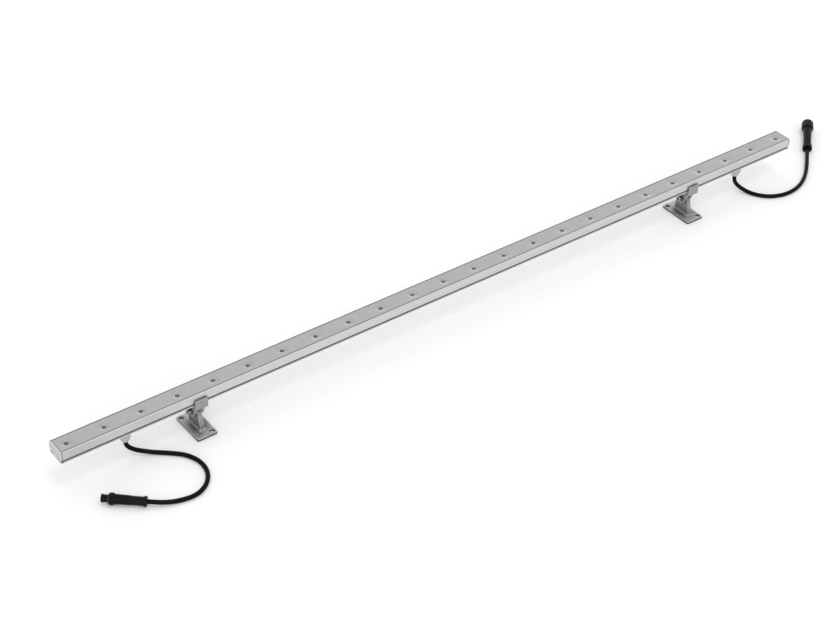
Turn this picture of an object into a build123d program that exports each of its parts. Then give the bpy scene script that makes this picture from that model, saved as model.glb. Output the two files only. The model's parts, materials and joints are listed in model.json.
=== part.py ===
from build123d import *

import os
from math import cos, pi, radians, tan

# Slim outdoor wall washer light, in millimetres.
# X runs along the bar, +Y points to the back of the brackets, +Z is up.
# The origin lies on the mounting surface, under the middle of the bar.

os.makedirs("parts", exist_ok=True)

# ---------------------------------------------------------------- driving dimensions

# Bar and its extruded section
bar_length = 1000.0
bar_width = 24.0
bar_height = 14.0
bar_top_z = 53.0  # top of the bar above the mounting surface
bar_corner_r = 0.4
floor_t = 1.6  # floor of the section
side_wall = 0.9  # side walls beside the cover
groove_depth = 2.2  # clamp groove in each side
groove_height = 2.4
groove_rise = 1.6  # foot flange under the groove
channel_half = 8.2  # wire channel under the board
board_rise = 5.2  # board slot above the underside
cavity_half = 9.2
screw_channel_r = 0.95
screw_channel_wall = 0.95
screw_channel_slit = 0.7
screw_channel_bite = 0.3  # the channel's ring runs this far into wall and floor

# Cover and lenses
lens_count = 24
lens_inset = 13.0  # first lens centre from the end of the bar
cover_t = 2.4
seal_seam = 0.8  # rubber bead in the seam beside the cover
seal_t = 0.4  # rubber under the edge of the cover
seal_lip = 1.0
seal_recess = 0.5  # the bead lies this far under the top face
dish_r = 6.0
dish_depth = 0.7  # at the mouth of the funnel
funnel_r = 3.5
funnel_angle = 90.0
throat_r = 2.1
throat_clearance = 0.1
lens_flange_r = 5.2
lens_flange_t = 0.7
lens_tip_r = 1.9
lens_nose_rise = 0.6

# Light boards
board_t = 1.2
board_slot_depth = 0.9
board_clearance = 0.15
board_end_gap = 0.5
board_split = 0.4  # gap between the two boards at the middle
led_size = 3.5
led_t = 0.9
led_window = 2.4
led_window_t = 0.6
led_gap = 0.2
chip_length = 5.0
chip_width = 4.0
chip_t = 1.5
chip_y = 5.0
lights_per_chip = 3
link_length = 9.0
link_width = 6.0
link_t = 2.4

# End caps
cap_t = 2.0
cap_edge = 0.3
cap_gasket_t = 0.6
cap_screw_r = 0.85
cap_screw_head_r = 1.8
cap_screw_head_t = 0.9
cap_screw_length = 9.0
cap_hole_clearance = 0.15
cap_socket_flats = 1.3
cap_socket_depth = 0.7

# Cable glands under the bar
gland_inset = 77.0  # gland axis from the end of the bar
gland_flats = 12.0
gland_flange_t = 3.0
gland_stem_r = 4.0
gland_stem_length = 3.6
gland_hole_clearance = 0.1
gland_sleeve_r = 4.6
gland_sleeve_length = 7.2
gland_seat_r = 3.5
gland_seat_length = 4.8
gland_nut_flats = 12.5
gland_nut_gap = 0.3
gland_nut_length = 12.3
gland_nut_dome = 7.6
gland_nut_tip_r = 4.1
gland_nut_cavity = 8.6
gland_thread_clearance = 0.1
gland_seal_length = 5.3
gland_seal_clearance = 0.05

# Cables
cord_d = 5.0
cord_hole_clearance = 0.1
core_r = 0.6
core_circle_r = 1.2
core_count = 3
jacket_rise = 0.3  # the jacket ends this far above the gland stem

# Bracket clamp
bracket_x = 340.0  # bracket centres each side of the middle
slide_clearance = 0.3  # between clamp and bar
clamp_width = 15.0
jaw_t = 2.4
jaw_top_z = 46.5
jaw_edge_r = 0.8
saddle_t = 4.5
saddle_inset = 1.0  # back edge of the saddle inside the bar's side
jaw_gap = 0.6  # gap that the clamp screw closes
clamp_screw_r = 1.5
clamp_screw_grip = 12.0
clamp_head_r = 2.75
clamp_head_t = 3.0
clamp_socket_flats = 2.5
clamp_socket_depth = 1.5
screw_clearance = 0.1

# Bracket hinge
hinge_z = 24.0
ear_r = 6.5
ear_half = 5.7  # half width over both ears
ear_inset = 0.5  # root of the ears inside the bar's side
web_t = 4.5
web_clearance = 0.3
web_r = 6.2
hinge_bolt_r = 2.0
hinge_fit = 0.06
hinge_head_r = 3.5
hinge_head_t = 4.0
hinge_socket_flats = 3.0
hinge_socket_depth = 2.0
washer_r = 4.5
washer_t = 0.5
hinge_nut_flats = 7.0
hinge_nut_t = 3.2
hinge_tip = 0.6  # thread past the nut
head_edge = 0.4

# Bracket foot
plate_x = 24.0
plate_y = 45.0
plate_t = 3.0
plate_corner_r = 1.6
plate_edge = 0.4
web_base_y = 12.0
web_neck_y = 9.4
web_neck_z = 20.0
web_neck_r = 2.0
web_fillet = 3.0
foot_hole_x = 7.8
foot_hole_y = 17.5
foot_hole_r = 2.2
foot_sink_r = 3.3
sink_angle = 90.0

# Cable end with the pins, on the left
pin_body_length = 33.0
pin_tail_r = 5.55
pin_tail_t = 3.2
pin_waist_r = 4.7
pin_front_r = 5.4
pin_collar_r = 6.5
pin_collar_t = 4.9
pin_core_r = 5.0
nose_length = 8.1
nose_r = 4.4
nose_neck_r = 4.0
nose_rim_t = 2.5
nose_bore_r = 3.4
nose_bore_depth = 7.0
nose_ring_t = 1.2
nose_ring_edge = 0.35
contact_r = 0.5
contact_circle_r = 1.8
contact_length = 5.5
contact_count = 4

# Cable end with the sockets and the coupling nut, on the right
socket_body_length = 44.5
socket_tail_r = 6.0
socket_tail_t = 7.0
socket_waist_r = 4.8
socket_front_r = 5.7
barrel_wall = 0.9
barrel_length = 12.2
barrel_bore_depth = 9.0
barrel_flange = 0.5
barrel_flange_t = 1.2
barrel_flange_back = 4.2
mating_clearance = 0.1
nut_clearance = 0.3
nut_length = 13.6
nut_wall = 0.8
nut_lug = 0.4
nut_lug_width = 1.6
nut_lug_count = 12
insert_r = 3.2
insert_length = 8.0
insert_hole_clearance = 0.1
insert_hole_depth = 6.0

# Rings moulded round both grips
grip_ring_depth = 0.5
grip_ring_width = 1.3
grip_ring_pitch = 2.6
grip_ring_count = 5
grip_ring_start = 1.4
end_round = 0.6

# ---------------------------------------------------------------- worked out from them

bar_bottom_z = bar_top_z - bar_height
bar_mid_z = bar_top_z - bar_height / 2
floor_top_z = bar_bottom_z + floor_t
groove_z = bar_bottom_z + groove_rise + groove_height / 2
board_z = bar_bottom_z + board_rise
board_top_z = board_z + board_t
cover_bottom_z = bar_top_z - cover_t
ledge_z = cover_bottom_z - seal_t
inner_half = bar_width / 2 - side_wall
cover_half = inner_half - seal_seam
housing_length = bar_length - 2 * (cap_t + cap_gasket_t)
lens_pitch = (bar_length - 2 * lens_inset) / (lens_count - 1)
lens_x = [-bar_length / 2 + lens_inset + lens_pitch * i for i in range(lens_count)]
screw_channel_outer = screw_channel_r + screw_channel_wall
screw_y = channel_half - screw_channel_outer + screw_channel_bite
screw_z = floor_top_z + screw_channel_outer - screw_channel_bite
cord_r = cord_d / 2
cord_hole_r = cord_r + cord_hole_clearance
gland_x = bar_length / 2 - gland_inset
gland_flange_z = bar_bottom_z - gland_flange_t
gland_stem_top_z = bar_bottom_z + gland_stem_length
gland_nut_top_z = gland_flange_z - gland_nut_gap
gland_exit_z = gland_nut_top_z - gland_nut_length

# Cable routes, chosen by hand: down out of the gland, then along the mounting surface
left_route = [
    (-gland_x, 0.0, gland_exit_z),
    (-423.0, 0.0, 18.2),
    (-420.6, -0.3, 13.0),
    (-414.4, -0.6, 7.7),
    (-405.2, -2.5, 3.8),
    (-395.9, -9.8, cord_r),
    (-384.0, -20.9, cord_r),
    (-372.3, -34.8, cord_r),
    (-365.8, -51.9, cord_r),
    (-367.9, -69.6, cord_r),
    (-378.1, -84.3, cord_r),
    (-394.7, -92.5, cord_r),
    (-412.7, -89.5, cord_r),
    (-425.9, -85.3, 4.0),
    (-435.3, -80.1, 5.4),
    (-441.5, -74.9, 5.62),
]
right_route = [
    (gland_x, 0.0, gland_exit_z),
    (423.0, 0.0, 18.2),
    (424.5, -0.3, 12.7),
    (427.5, -2.6, 7.6),
    (430.9, -8.6, 4.1),
    (434.2, -18.6, cord_r),
    (441.3, -31.5, cord_r),
    (453.4, -41.2, cord_r),
    (470.3, -46.2, cord_r),
    (491.0, -44.0, cord_r),
    (511.5, -34.4, cord_r),
    (529.7, -20.3, 3.5),
    (545.8, -4.5, 5.47),
    (558.3, 7.9, 6.05),
]


def save(builder, name):
    """Label one finished piece and write it."""
    builder.part.label = name
    export_step(builder.part, f"parts/{name}.step")


def turn(plane, outline, mode=Mode.ADD):
    """Turn an outline, given as (along, radius) points, about the plane's X axis."""
    with BuildSketch(plane) as profile:
        with BuildLine():
            Polyline(*outline, close=True)
        make_face()
    revolve(profile.sketch, Axis(plane.origin, plane.x_dir), mode=mode)


def hex_prism(plane, flats, amount, mode=Mode.ADD):
    """Hexagonal prism on a plane, sized across its flats."""
    with BuildSketch(plane) as profile:
        RegularPolygon(flats / 2, 6, major_radius=False)
    extrude(profile.sketch, amount=amount, mode=mode)


# ---------------------------------------------------------------- bar


def draw_bar_outline():
    """Outer section of the bar: rounded, with one clamp groove in each side."""
    with Locations((0, bar_mid_z)):
        RectangleRounded(bar_width, bar_height, bar_corner_r)
    groove_y = (bar_width - groove_depth) / 2
    with Locations((-groove_y, groove_z), (groove_y, groove_z)):
        Rectangle(groove_depth, groove_height, mode=Mode.SUBTRACT)


def cut_slab(half_width, z_low, z_high):
    """Open the section across a width, from one height to another."""
    with Locations((0, (z_low + z_high) / 2)):
        Rectangle(2 * half_width, z_high - z_low, mode=Mode.SUBTRACT)


with BuildPart() as housing:
    with BuildSketch(Plane.YZ):
        draw_bar_outline()
        cut_slab(channel_half, floor_top_z, board_z)
        cut_slab(cavity_half, board_z, ledge_z)
        cut_slab(cavity_half + board_slot_depth, board_z, board_top_z + board_clearance)
        cut_slab(inner_half, ledge_z, bar_top_z)
        with Locations((-screw_y, screw_z), (screw_y, screw_z)):
            Circle(screw_channel_outer)
            Circle(screw_channel_r, mode=Mode.SUBTRACT)
        slit_y = screw_y - screw_channel_outer / 2
        with Locations((-slit_y, screw_z), (slit_y, screw_z)):
            Rectangle(screw_channel_outer, screw_channel_slit, mode=Mode.SUBTRACT)
    extrude(amount=housing_length / 2, both=True)
    with Locations((-gland_x, 0, floor_top_z), (gland_x, 0, floor_top_z)):
        Hole(gland_stem_r + gland_hole_clearance, 2 * floor_t)
save(housing, "housing")

funnel_top_z = bar_top_z - dish_depth
funnel_bottom_z = funnel_top_z - (funnel_r - throat_r) / tan(radians(funnel_angle / 2))
with BuildPart() as light_well:
    with BuildSketch(Plane.XZ):
        with BuildLine():
            Polyline(
                (0, bar_top_z),
                (dish_r, bar_top_z),
                (funnel_r, funnel_top_z),
                (throat_r, funnel_bottom_z),
                (throat_r, cover_bottom_z),
                (0, cover_bottom_z),
                close=True,
            )
        make_face()
    revolve(axis=Axis.Z)

with BuildPart() as lens_cover:
    with BuildSketch(Plane.XY.offset(cover_bottom_z)):
        Rectangle(housing_length, 2 * cover_half)
    extrude(amount=cover_t)
    with Locations(*[(x, 0, 0) for x in lens_x]):
        add(light_well.part, mode=Mode.SUBTRACT)
save(lens_cover, "lens_cover")

with BuildPart() as cover_seal:
    bead_top_z = bar_top_z - seal_recess
    with BuildSketch(Plane.YZ):
        for side in (-1, 1):
            with Locations((side * (inner_half - seal_seam / 2), (ledge_z + bead_top_z) / 2)):
                Rectangle(seal_seam, bead_top_z - ledge_z)
            with Locations((side * (cover_half - seal_lip / 2), ledge_z + seal_t / 2)):
                Rectangle(seal_lip, seal_t)
    extrude(amount=housing_length / 2, both=True)
save(cover_seal, "cover_seal")

led_top_z = board_top_z + led_t + led_window_t
lens_low_z = led_top_z + led_gap
lens_nose_r = throat_r - throat_clearance
lens_nose_z = cover_bottom_z + lens_nose_rise
with BuildPart() as one_lens:
    with BuildSketch(Plane.XZ):
        with BuildLine():
            Polyline(
                (0, lens_nose_z),
                (0, lens_low_z),
                (lens_tip_r, lens_low_z),
                (lens_flange_r, cover_bottom_z - lens_flange_t),
                (lens_flange_r, cover_bottom_z),
                (lens_nose_r, cover_bottom_z),
                (lens_nose_r, lens_nose_z),
                close=True,
            )
        make_face()
    revolve(axis=Axis.Z)

with BuildPart() as lenses:
    with Locations(*[(x, 0, 0) for x in lens_x]):
        add(one_lens.part)
save(lenses, "lenses")

board_half = cavity_half + board_slot_depth - board_clearance
board_outer = housing_length / 2 - board_end_gap
for side, side_name in ((-1, "left"), (1, "right")):
    with BuildPart() as led_board:
        with BuildSketch(Plane.XY.offset(board_z)):
            with Locations((side * (board_outer + board_split / 2) / 2, 0)):
                Rectangle(board_outer - board_split / 2, 2 * board_half)
        extrude(amount=board_t)
    save(led_board, f"led_board_{side_name}")

with BuildPart() as leds:
    with BuildSketch(Plane.XY.offset(board_top_z)):
        with Locations(*[(x, 0) for x in lens_x]):
            Rectangle(led_size, led_size)
    extrude(amount=led_t)
    with BuildSketch(Plane.XY.offset(board_top_z + led_t)):
        with Locations(*[(x, 0) for x in lens_x]):
            Rectangle(led_window, led_window)
    extrude(amount=led_window_t)
save(leds, "leds")

with BuildPart() as driver_chips:
    chip_x = [x + lens_pitch / 2 for x in lens_x[1::lights_per_chip]]
    with BuildSketch(Plane.XY.offset(board_top_z)):
        with Locations(*[(x, chip_y) for x in chip_x]):
            Rectangle(chip_length, chip_width)
    extrude(amount=chip_t)
save(driver_chips, "driver_chips")

with BuildPart() as board_link:
    with BuildSketch(Plane.XY.offset(board_top_z)):
        Rectangle(link_length, link_width)
    extrude(amount=link_t)
    chamfer(board_link.faces().sort_by(Axis.Z)[-1].edges(), head_edge)
save(board_link, "board_link")

# ---------------------------------------------------------------- end caps


def screw_planes(outer_x, side):
    """Planes of the two cap screws: X into the bar, origin on the cap's outer face."""
    return [
        Plane(origin=(outer_x, y, screw_z), x_dir=(-side, 0, 0), z_dir=(0, 1, 0))
        for y in (-screw_y, screw_y)
    ]


for side, side_name in ((-1, "left"), (1, "right")):
    cap_outer_x = side * bar_length / 2
    cap_inner_x = cap_outer_x - side * cap_t
    hole_r = cap_screw_r + cap_hole_clearance
    sink_r = cap_screw_head_r + cap_hole_clearance
    with BuildPart() as end_cap:
        with BuildSketch(Plane.YZ.offset(cap_inner_x)):
            draw_bar_outline()
        extrude(amount=side * cap_t)
        outer_face = end_cap.faces().sort_by(Axis((0, 0, 0), (side, 0, 0)))[-1]
        chamfer(outer_face.edges(), cap_edge)
        for y in (-screw_y, screw_y):
            with Locations(Plane(origin=(cap_outer_x, y, screw_z), z_dir=(side, 0, 0))):
                CounterSinkHole(hole_r, sink_r, depth=2 * cap_t, counter_sink_angle=sink_angle)
    save(end_cap, f"end_cap_{side_name}")

    with BuildPart() as end_gasket:
        with BuildSketch(Plane.YZ.offset(cap_inner_x)):
            draw_bar_outline()
            with Locations((-screw_y, screw_z), (screw_y, screw_z)):
                Circle(hole_r, mode=Mode.SUBTRACT)
        extrude(amount=-side * cap_gasket_t)
    save(end_gasket, f"end_gasket_{side_name}")

    with BuildPart() as cap_screws:
        for plane in screw_planes(cap_outer_x, side):
            turn(
                plane,
                [
                    (0, 0),
                    (0, cap_screw_head_r),
                    (cap_screw_head_t, cap_screw_r),
                    (cap_screw_length, cap_screw_r),
                    (cap_screw_length, 0),
                ],
            )
            drive_plane = Plane(origin=plane.origin, z_dir=plane.x_dir)
            hex_prism(drive_plane, cap_socket_flats, cap_socket_depth, Mode.SUBTRACT)
    save(cap_screws, f"cap_screws_{side_name}")

# ---------------------------------------------------------------- glands and cables


def cord_radii(route):
    """Bend radius at each inner point of a route, as large as its two runs allow."""
    radii = []
    for before, corner, after in zip(route, route[1:], route[2:]):
        run_in = Vector(*corner) - Vector(*before)
        run_out = Vector(*after) - Vector(*corner)
        half_turn = radians(run_in.get_angle(run_out)) / 2
        radii.append(0.45 * min(run_in.length, run_out.length) / tan(half_turn))
    return radii


for side, side_name, route in ((-1, "left", left_route), (1, "right", right_route)):
    x = side * gland_x

    with BuildPart() as gland:
        hex_prism(Plane(origin=(x, 0, gland_flange_z)), gland_flats, gland_flange_t)
        with BuildSketch(Plane.XY.offset(bar_bottom_z)):
            with Locations((x, 0)):
                Circle(gland_stem_r)
        extrude(amount=gland_stem_length)
        with BuildSketch(Plane.XY.offset(gland_flange_z)):
            with Locations((x, 0)):
                Circle(gland_sleeve_r)
        extrude(amount=-gland_sleeve_length)
        with Locations((x, 0, gland_stem_top_z)):
            Hole(cord_hole_r)
        with BuildSketch(Plane.XY.offset(gland_flange_z - gland_sleeve_length)):
            with Locations((x, 0)):
                Circle(gland_seat_r)
        extrude(amount=gland_seat_length, mode=Mode.SUBTRACT)
    save(gland, f"gland_{side_name}")

    with BuildPart() as gland_nut:
        nut_top = Plane(origin=(x, 0, gland_nut_top_z))
        hex_prism(nut_top, gland_nut_flats, -gland_nut_length)
        corner_r = gland_nut_flats / 2 / cos(radians(30))
        nut_axis = Plane(origin=(x, 0, gland_exit_z), x_dir=(0, 0, 1), z_dir=(0, 1, 0))
        turn(
            nut_axis,
            [
                (0, 0),
                (0, gland_nut_tip_r),
                (gland_nut_dome, corner_r),
                (gland_nut_length, corner_r),
                (gland_nut_length, 0),
            ],
            Mode.INTERSECT,
        )
        with Locations((x, 0, gland_nut_top_z)):
            nut_bore_r = gland_sleeve_r + gland_thread_clearance
            CounterBoreHole(cord_hole_r, nut_bore_r, gland_nut_cavity)
    save(gland_nut, f"gland_nut_{side_name}")

    with BuildPart() as gland_seal:
        with BuildSketch(Plane.XY.offset(gland_nut_top_z - gland_nut_cavity)):
            with Locations((x, 0)):
                Circle(gland_seat_r - gland_seal_clearance)
                Circle(cord_r + gland_seal_clearance, mode=Mode.SUBTRACT)
        extrude(amount=gland_seal_length)
    save(gland_seal, f"gland_seal_{side_name}")

    jacket_top_z = gland_stem_top_z + jacket_rise
    with BuildPart() as cord_tail:
        with BuildSketch(Plane.XY.offset(gland_exit_z)):
            with Locations((x, 0)):
                Circle(cord_r)
        extrude(amount=jacket_top_z - gland_exit_z)
        with BuildSketch(Plane.XY.offset(jacket_top_z)):
            with Locations((x, 0)):
                with PolarLocations(core_circle_r, core_count):
                    Circle(core_r)
        extrude(amount=board_z - jacket_top_z)
    save(cord_tail, f"cord_tail_{side_name}")

    radii = cord_radii(route)
    with BuildPart() as cord:
        with BuildLine() as path:
            FilletPolyline(*route, radius=radii)
        with BuildSketch(Plane.XY.offset(gland_exit_z)):
            with Locations((x, 0)):
                Circle(cord_r)
        sweep(path=path.wire())
    save(cord, f"cord_{side_name}")
    cord_length = path.wire().length
    print(f"cord_{side_name} length {cord_length:.1f}, radii {[round(r, 1) for r in radii]}")
    print(f"  volume {cord.part.volume:.0f}, section x length {pi * cord_r**2 * cord_length:.0f}")

# ---------------------------------------------------------------- cable ends


def end_plane(route):
    """Plane at the end of a cable: X along the connector's axis, Y upwards."""
    tail = Vector(*route[-1])
    along = (tail - Vector(*route[-2])).normalized()
    return Plane(origin=tail, x_dir=along, z_dir=(along.Y, -along.X, 0))


def ringed(start, radius):
    """Outline points of the moulded rings round a grip: narrow grooves in a row."""
    points = []
    for i in range(grip_ring_count):
        groove = start + i * grip_ring_pitch
        points += [
            (groove, radius),
            (groove, radius - grip_ring_depth),
            (groove + grip_ring_width, radius - grip_ring_depth),
            (groove + grip_ring_width, radius),
        ]
    return points


def face_plane(plane, along):
    """Plane square to a connector's axis, looking out of its mouth."""
    return Plane(origin=plane.origin + plane.x_dir * along, x_dir=plane.z_dir, z_dir=plane.x_dir)


pin_plane = end_plane(left_route)
collar_end = pin_body_length + pin_collar_t
pin_length = collar_end + nose_length

with BuildPart() as pin_grip:
    turn(
        pin_plane,
        [(0, 0), (0, pin_tail_r - end_round), (end_round, pin_tail_r), (pin_tail_t, pin_tail_r)]
        + ringed(pin_tail_t, pin_waist_r + grip_ring_depth / 2)
        + [(pin_body_length, pin_front_r), (pin_body_length, 0)],
    )
save(pin_grip, "pin_grip")

with BuildPart() as pin_shell:
    turn(
        pin_plane,
        [
            (pin_body_length, 0),
            (pin_body_length, pin_core_r),
            (collar_end, pin_core_r),
            (collar_end, nose_neck_r),
            (pin_length - nose_rim_t, nose_neck_r),
            (pin_length - nose_rim_t, nose_r),
            (pin_length, nose_r),
            (pin_length, nose_bore_r),
            (pin_length - nose_bore_depth, nose_bore_r),
            (pin_length - nose_bore_depth, 0),
        ],
    )
save(pin_shell, "pin_shell")

with BuildPart() as pin_collar:
    inner_r = pin_core_r + screw_clearance / 2
    turn(
        pin_plane,
        [
            (pin_body_length, inner_r),
            (pin_body_length, pin_collar_r - end_round),
            (pin_body_length + end_round, pin_collar_r),
            (collar_end - end_round, pin_collar_r),
            (collar_end, pin_collar_r - end_round),
            (collar_end, inner_r),
        ],
    )
save(pin_collar, "pin_collar")

with BuildPart() as nose_ring:
    ring_top_r = nose_neck_r + nose_ring_t
    turn(
        pin_plane,
        [
            (collar_end, nose_neck_r),
            (collar_end, ring_top_r - nose_ring_edge),
            (collar_end + nose_ring_edge, ring_top_r),
            (collar_end + nose_ring_t - nose_ring_edge, ring_top_r),
            (collar_end + nose_ring_t, ring_top_r - nose_ring_edge),
            (collar_end + nose_ring_t, nose_neck_r),
        ],
    )
save(nose_ring, "nose_ring")

with BuildPart() as contact_pins:
    with BuildSketch(face_plane(pin_plane, pin_length - nose_bore_depth)):
        with PolarLocations(contact_circle_r, contact_count):
            Circle(contact_r)
    extrude(amount=contact_length)
save(contact_pins, "contact_pins")

socket_plane = end_plane(right_route)
mouth_r = nose_r + mating_clearance
barrel_r = mouth_r + barrel_wall
barrel_end = socket_body_length + barrel_length
barrel_floor = barrel_end - barrel_bore_depth
flange_start = socket_body_length + barrel_flange_back
flange_r = barrel_r + barrel_flange

with BuildPart() as socket_grip:
    turn(
        socket_plane,
        [
            (0, 0),
            (0, socket_tail_r - end_round),
            (end_round, socket_tail_r),
            (socket_tail_t - end_round, socket_tail_r),
            (socket_tail_t + end_round, socket_waist_r),
        ]
        + ringed(socket_tail_t + grip_ring_start, socket_waist_r)
        + [
            (socket_body_length, socket_front_r),
            (socket_body_length, barrel_r),
            (flange_start, barrel_r),
            (flange_start, flange_r),
            (flange_start + barrel_flange_t, flange_r),
            (flange_start + barrel_flange_t, barrel_r),
            (barrel_end, barrel_r),
            (barrel_end, mouth_r),
            (barrel_floor, mouth_r),
            (barrel_floor, 0),
        ],
    )
save(socket_grip, "socket_grip")

with BuildPart() as socket_insert:
    with BuildSketch(face_plane(socket_plane, barrel_floor)):
        Circle(insert_r)
    extrude(amount=insert_length)
    with BuildSketch(face_plane(socket_plane, barrel_floor + insert_length)):
        with PolarLocations(contact_circle_r, contact_count):
            Circle(contact_r + insert_hole_clearance)
    extrude(amount=-insert_hole_depth, mode=Mode.SUBTRACT)
save(socket_insert, "socket_insert")

with BuildPart() as coupling_nut:
    nut_start = socket_body_length + nut_clearance
    nut_end = nut_start + nut_length
    lip_end = flange_start - nut_clearance
    lip_r = barrel_r + nut_clearance
    cavity_r = flange_r + nut_clearance
    nut_r = cavity_r + nut_wall
    turn(
        socket_plane,
        [
            (nut_start, lip_r),
            (nut_start, nut_r - end_round),
            (nut_start + end_round, nut_r),
            (nut_end - end_round, nut_r),
            (nut_end, nut_r - end_round),
            (nut_end, cavity_r),
            (lip_end, cavity_r),
            (lip_end, lip_r),
        ],
    )
    lug_length = nut_length - 4 * end_round
    lug_start = nut_start + 2 * end_round
    with BuildSketch(face_plane(socket_plane, lug_start)):
        with PolarLocations(nut_r, nut_lug_count):
            Rectangle(2 * nut_lug, nut_lug_width)
    extrude(amount=lug_length)
save(coupling_nut, "coupling_nut")

# ---------------------------------------------------------------- brackets

jaw_in = bar_width / 2 + slide_clearance
jaw_out = jaw_in + jaw_t
lip_tip = bar_width / 2 - groove_depth + slide_clearance
lip_t = groove_height - 2 * slide_clearance
saddle_top_z = bar_bottom_z - slide_clearance
saddle_bottom_z = saddle_top_z - saddle_t
saddle_back_y = bar_width / 2 - saddle_inset
ear_top_y = bar_width / 2 - ear_inset
clamp_screw_z = (saddle_top_z + saddle_bottom_z) / 2
web_slot = web_t + 2 * web_clearance


def draw_jaw(direction):
    """Side view of one jaw: a wall up the bar's side, with a lip into its groove."""
    jaw_height = jaw_top_z - saddle_bottom_z
    with Locations((direction * (jaw_in + jaw_out) / 2, saddle_bottom_z + jaw_height / 2)):
        Rectangle(jaw_t, jaw_height)
    with Locations((direction * (lip_tip + jaw_in) / 2, groove_z)):
        Rectangle(jaw_in - lip_tip, lip_t)


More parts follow.
